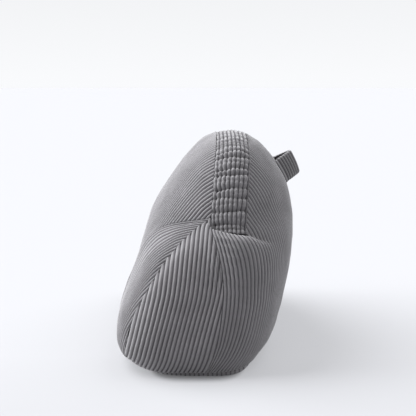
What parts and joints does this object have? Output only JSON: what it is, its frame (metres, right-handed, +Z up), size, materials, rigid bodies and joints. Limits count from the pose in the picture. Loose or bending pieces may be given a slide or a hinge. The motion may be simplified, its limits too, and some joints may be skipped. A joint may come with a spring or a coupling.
{
  "type": "lumbar pillow",
  "caption": "Stuffed lumbar pillow in wide-wale corduroy that stands on a flat base, with a gathered strip over its top and a carry loop on its back.",
  "frame": {"origin": "on the surface the pillow stands on, under the middle of its length and inside its base", "axes": "+X along the pillow's length, +Y towards its back, where the carry loop is, +Z up"},
  "size_m": [0.4934, 0.2621, 0.2967],
  "materials": {
    "corduroy": "mid-grey wide-wale corduroy, short brushed pile"
  },
  "bodies": {
    "root": {"pillow_body": "corduroy", "side_front_panel_right": "corduroy", "side_front_panel_left": "corduroy", "end_panel_right": "corduroy", "end_panel_left": "corduroy", "gathered_strip": "corduroy", "base_panel": "corduroy", "carry_loop": "corduroy"}
  },
  "joints": []
}
